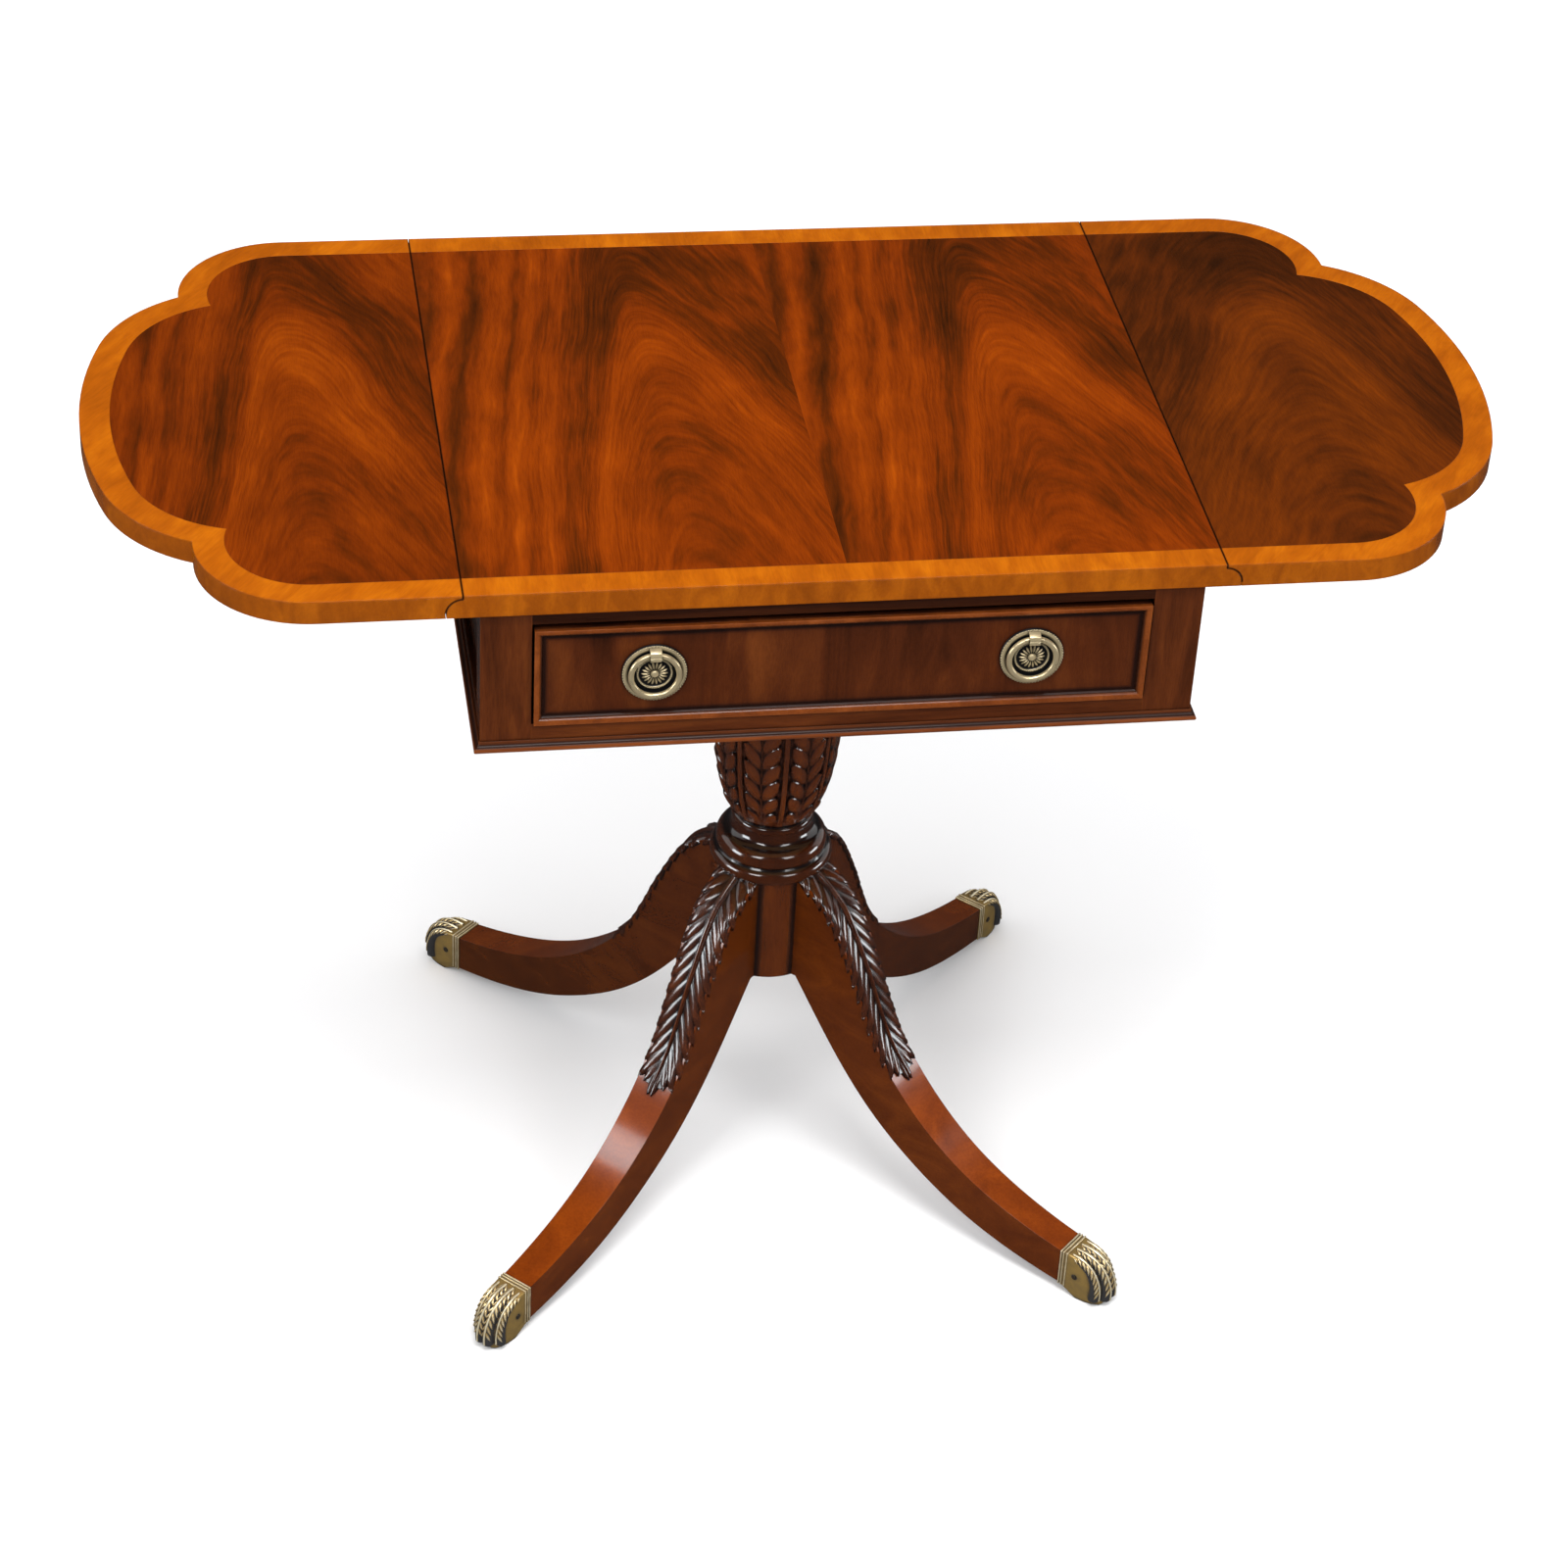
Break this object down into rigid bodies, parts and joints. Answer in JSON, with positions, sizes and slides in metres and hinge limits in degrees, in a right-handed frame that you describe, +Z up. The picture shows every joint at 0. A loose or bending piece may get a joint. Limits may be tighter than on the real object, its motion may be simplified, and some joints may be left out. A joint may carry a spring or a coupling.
{
  "type": "drop-leaf side table",
  "caption": "Pedestal side table with drop leaves on rule joints, swinging fly brackets, a frieze drawer with ring pulls, a turned vase column and sabre legs in paw caps.",
  "frame": {"origin": "on the floor under the middle of the column", "axes": "+X along the opened top towards the right leaf, +Y away from the drawer side, +Z up"},
  "size_m": [1.0498, 0.5202, 0.711],
  "materials": {
    "figured_mahogany": "gloss",
    "satinwood": "gloss",
    "frieze_mahogany": "gloss",
    "drawer_mahogany": "gloss",
    "pedestal_mahogany": "gloss",
    "carcass_wood": "matte",
    "brass": "satin",
    "hinge_steel": "satin"
  },
  "bodies": {
    "table": {"top_core": "frieze_mahogany", "top_lippings": "satinwood", "top_veneers": "figured_mahogany", "top_bands": "satinwood", "top_hinge_flaps": "hinge_steel", "top_hinge_screws": "hinge_steel", "hinge_pins": "hinge_steel", "left_front_post": "frieze_mahogany", "right_front_post": "frieze_mahogany", "front_top_rail": "frieze_mahogany", "front_bottom_rail": "frieze_mahogany", "left_side_apron": "carcass_wood", "right_side_apron": "carcass_wood", "rear_apron": "frieze_mahogany", "left_lower_rail": "frieze_mahogany", "right_lower_rail": "frieze_mahogany", "left_fly_rail": "frieze_mahogany", "right_fly_rail": "frieze_mahogany", "fly_rear_blocks": "frieze_mahogany", "fly_pins": "hinge_steel", "base_mouldings": "frieze_mahogany", "drawer_runners": "carcass_wood", "drawer_kickers": "carcass_wood", "drawer_stops": "carcass_wood", "pedestal_board": "carcass_wood", "vase_column": "pedestal_mahogany", "leg_hub": "pedestal_mahogany", "front_left_leg": "pedestal_mahogany", "front_right_leg": "pedestal_mahogany", "rear_left_leg": "pedestal_mahogany", "rear_right_leg": "pedestal_mahogany", "front_left_paw_cap": "brass", "front_right_paw_cap": "brass", "rear_left_paw_cap": "brass", "rear_right_paw_cap": "brass", "paw_cap_screws": "brass"},
    "left_leaf": {"left_leaf_core": "frieze_mahogany", "left_leaf_lipping": "satinwood", "left_leaf_veneer": "figured_mahogany", "left_leaf_band": "satinwood", "left_leaf_hinge_flaps": "hinge_steel", "left_leaf_hinge_screws": "hinge_steel"},
    "right_leaf": {"right_leaf_core": "frieze_mahogany", "right_leaf_lipping": "satinwood", "right_leaf_veneer": "figured_mahogany", "right_leaf_band": "satinwood", "right_leaf_hinge_flaps": "hinge_steel", "right_leaf_hinge_screws": "hinge_steel"},
    "left_fly_arm": {"left_fly_bracket": "frieze_mahogany"},
    "right_fly_arm": {"right_fly_bracket": "frieze_mahogany"},
    "drawer": {"drawer_front": "drawer_mahogany", "drawer_front_frame": "drawer_mahogany", "left_drawer_side": "carcass_wood", "right_drawer_side": "carcass_wood", "drawer_back": "carcass_wood", "drawer_bottom": "carcass_wood", "pull_plates": "brass", "pull_bolts": "brass"},
    "left_ring": {"left_pull_ring": "brass"},
    "right_ring": {"right_pull_ring": "brass"}
  },
  "joints": [
    {"name": "left_leaf_hinge", "type": "hinge", "parent": "table", "child": "left_leaf", "pos_m": [-0.269, 0, 0.696], "axis": [0, -1, 0], "range_deg": [0, 90]},
    {"name": "right_leaf_hinge", "type": "hinge", "parent": "table", "child": "right_leaf", "pos_m": [0.269, 0, 0.696], "axis": [0, 1, 0], "range_deg": [0, 90]},
    {"name": "left_fly_swing", "type": "hinge", "parent": "table", "child": "left_fly_arm", "pos_m": [-0.244, 0, 0.65], "axis": [0, 0, -1], "range_deg": [-90, 0]},
    {"name": "right_fly_swing", "type": "hinge", "parent": "table", "child": "right_fly_arm", "pos_m": [0.244, 0, 0.65], "axis": [0, 0, 1], "range_deg": [-90, 0]},
    {"name": "drawer_slide", "type": "slide", "parent": "table", "child": "drawer", "axis": [0, -1, 0], "range_m": [0, 0.3]},
    {"name": "left_ring_swing", "type": "hinge", "parent": "drawer", "child": "left_ring", "pos_m": [-0.135, -0.25316, 0.65425], "axis": [-1, 0, 0], "range_deg": [0, 90]},
    {"name": "right_ring_swing", "type": "hinge", "parent": "drawer", "child": "right_ring", "pos_m": [0.135, -0.25316, 0.65425], "axis": [-1, 0, 0], "range_deg": [0, 90]}
  ]
}
